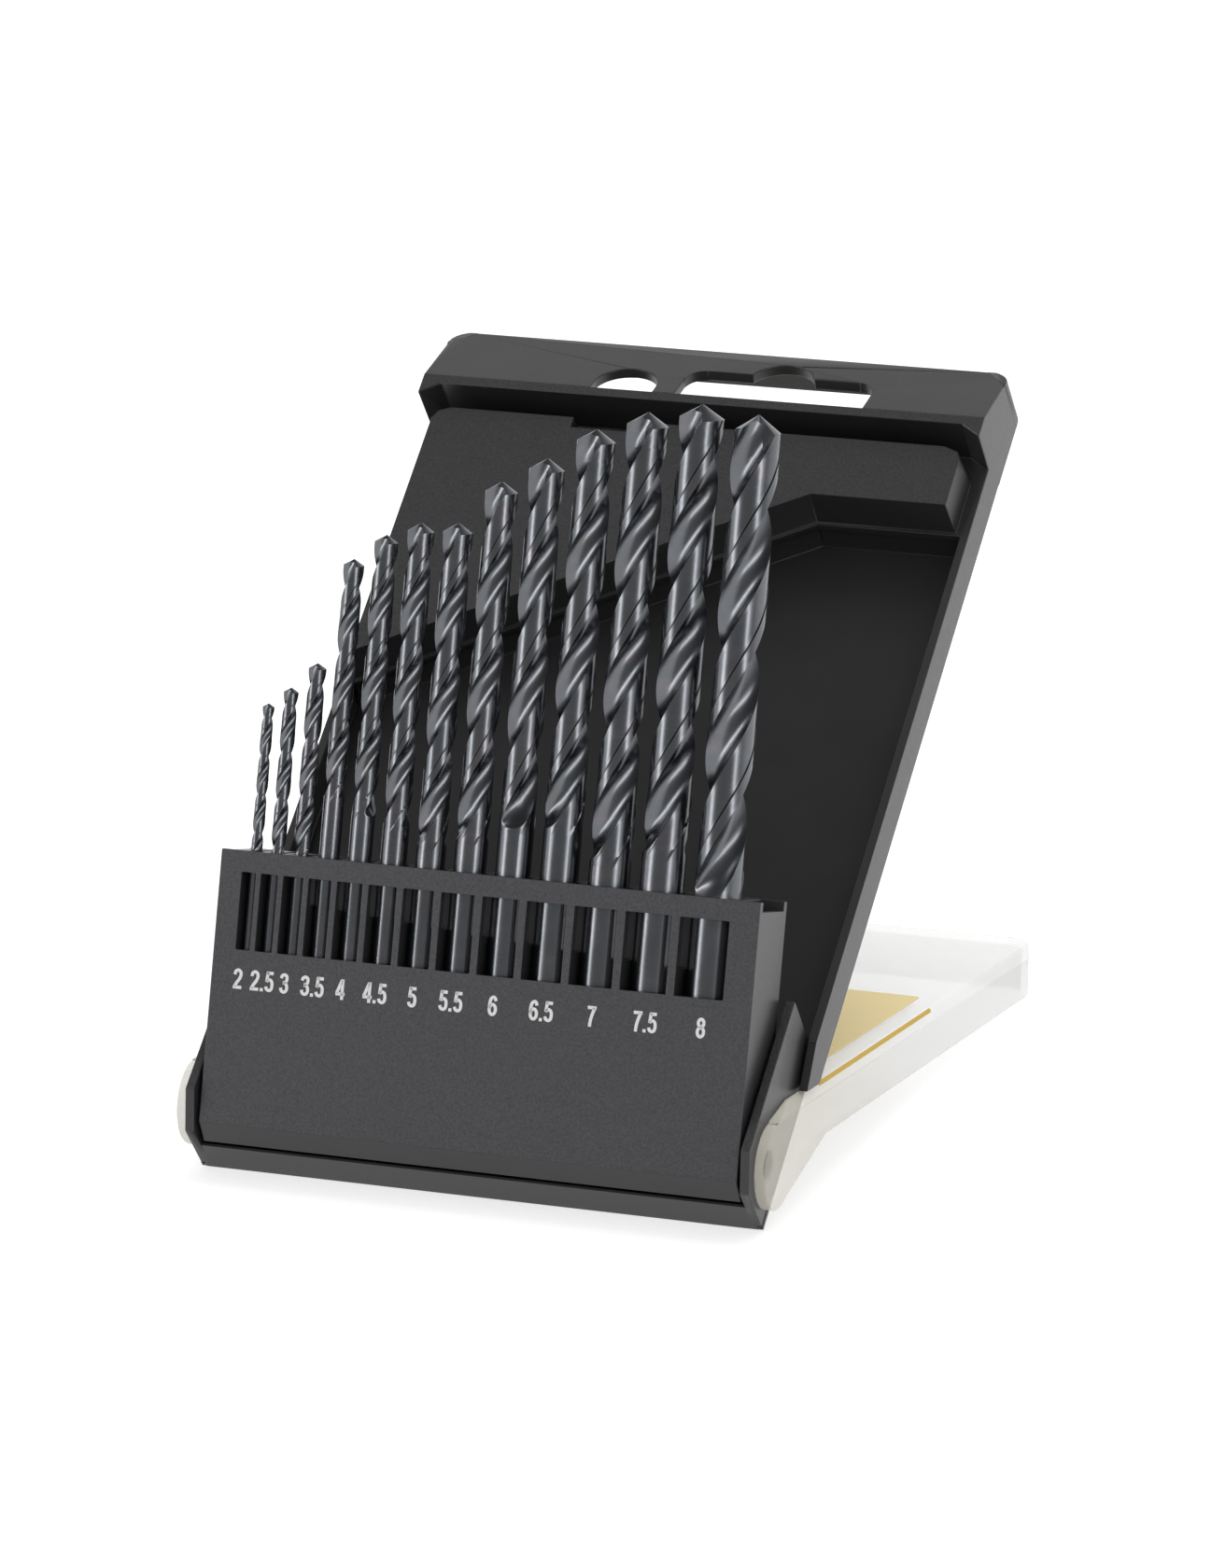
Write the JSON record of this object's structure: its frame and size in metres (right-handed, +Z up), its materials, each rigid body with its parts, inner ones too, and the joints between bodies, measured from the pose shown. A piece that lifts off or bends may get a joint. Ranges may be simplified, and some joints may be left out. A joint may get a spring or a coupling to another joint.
{
  "type": "drill bit case",
  "caption": "Folding drill bit case: black moulded shell, tilting rack of twist drills and a clear cover that folds back as a stand.",
  "frame": {"origin": "centre of the open case's footprint, on the surface it stands on", "axes": "+X to the right along the hinge line, +Y to the back where the cover lies, +Z up"},
  "size_m": [0.105, 0.1562, 0.1322],
  "materials": {
    "black_plastic": "fine spark-eroded texture, satin black polypropylene",
    "clear_plastic": "frosted clear polypropylene",
    "label_paper": "plain pale yellow label",
    "oxide_steel": "blue-black steam oxide on high-speed steel"
  },
  "bodies": {
    "shell": {"back_shell": "black_plastic"},
    "rack": {"bit_rack": "black_plastic"},
    "cover": {"clear_cover": "clear_plastic", "cover_label": "label_paper"},
    "bit_2_0": {"drill_bit_2_0": "oxide_steel"},
    "bit_2_5": {"drill_bit_2_5": "oxide_steel"},
    "bit_3_0": {"drill_bit_3_0": "oxide_steel"},
    "bit_3_5": {"drill_bit_3_5": "oxide_steel"},
    "bit_4_0": {"drill_bit_4_0": "oxide_steel"},
    "bit_4_5": {"drill_bit_4_5": "oxide_steel"},
    "bit_5_0": {"drill_bit_5_0": "oxide_steel"},
    "bit_5_5": {"drill_bit_5_5": "oxide_steel"},
    "bit_6_0": {"drill_bit_6_0": "oxide_steel"},
    "bit_6_5": {"drill_bit_6_5": "oxide_steel"},
    "bit_7_0": {"drill_bit_7_0": "oxide_steel"},
    "bit_7_5": {"drill_bit_7_5": "oxide_steel"},
    "bit_8_0": {"drill_bit_8_0": "oxide_steel"}
  },
  "joints": [
    {"name": "cover_hinge", "type": "hinge", "parent": "shell", "child": "cover", "pos_m": [0, -0.06914, 0.01098], "axis": [-1, 0, 0], "range_deg": [0, 315.6]},
    {"name": "rack_tilt", "type": "hinge", "parent": "shell", "child": "rack", "pos_m": [0, -0.06914, 0.01098], "axis": [-1, 0, 0], "range_deg": [0, 35.6]},
    {"name": "bit_lift_2_0", "type": "slide", "parent": "rack", "child": "bit_2_0", "axis": [0, -0.2487, -0.9686], "range_m": [-0.026, 0]},
    {"name": "bit_lift_2_5", "type": "slide", "parent": "rack", "child": "bit_2_5", "axis": [0, -0.2487, -0.9686], "range_m": [-0.031, 0]},
    {"name": "bit_lift_3_0", "type": "slide", "parent": "rack", "child": "bit_3_0", "axis": [0, -0.2487, -0.9686], "range_m": [-0.0305, 0]},
    {"name": "bit_lift_3_5", "type": "slide", "parent": "rack", "child": "bit_3_5", "axis": [0, -0.2487, -0.9686], "range_m": [-0.0215, 0]},
    {"name": "bit_lift_4_0", "type": "slide", "parent": "rack", "child": "bit_4_0", "axis": [0, -0.2487, -0.9686], "range_m": [-0.022, 0]},
    {"name": "bit_lift_4_5", "type": "slide", "parent": "rack", "child": "bit_4_5", "axis": [0, -0.2487, -0.9686], "range_m": [-0.0245, 0]},
    {"name": "bit_lift_5_0", "type": "slide", "parent": "rack", "child": "bit_5_0", "axis": [0, -0.2487, -0.9686], "range_m": [-0.03, 0]},
    {"name": "bit_lift_5_5", "type": "slide", "parent": "rack", "child": "bit_5_5", "axis": [0, -0.2487, -0.9686], "range_m": [-0.0295, 0]},
    {"name": "bit_lift_6_0", "type": "slide", "parent": "rack", "child": "bit_6_0", "axis": [0, -0.2487, -0.9686], "range_m": [-0.025, 0]},
    {"name": "bit_lift_6_5", "type": "slide", "parent": "rack", "child": "bit_6_5", "axis": [0, -0.2487, -0.9686], "range_m": [-0.0275, 0]},
    {"name": "bit_lift_7_0", "type": "slide", "parent": "rack", "child": "bit_7_0", "axis": [0, -0.2487, -0.9686], "range_m": [-0.032, 0]},
    {"name": "bit_lift_7_5", "type": "slide", "parent": "rack", "child": "bit_7_5", "axis": [0, -0.2487, -0.9686], "range_m": [-0.03, 0]},
    {"name": "bit_lift_8_0", "type": "slide", "parent": "rack", "child": "bit_8_0", "axis": [0, -0.2487, -0.9686], "range_m": [-0.039, 0]}
  ],
  "couplings": [
    {"joint": "rack_tilt", "follows": "cover_hinge", "ratio": 0.11248}
  ]
}
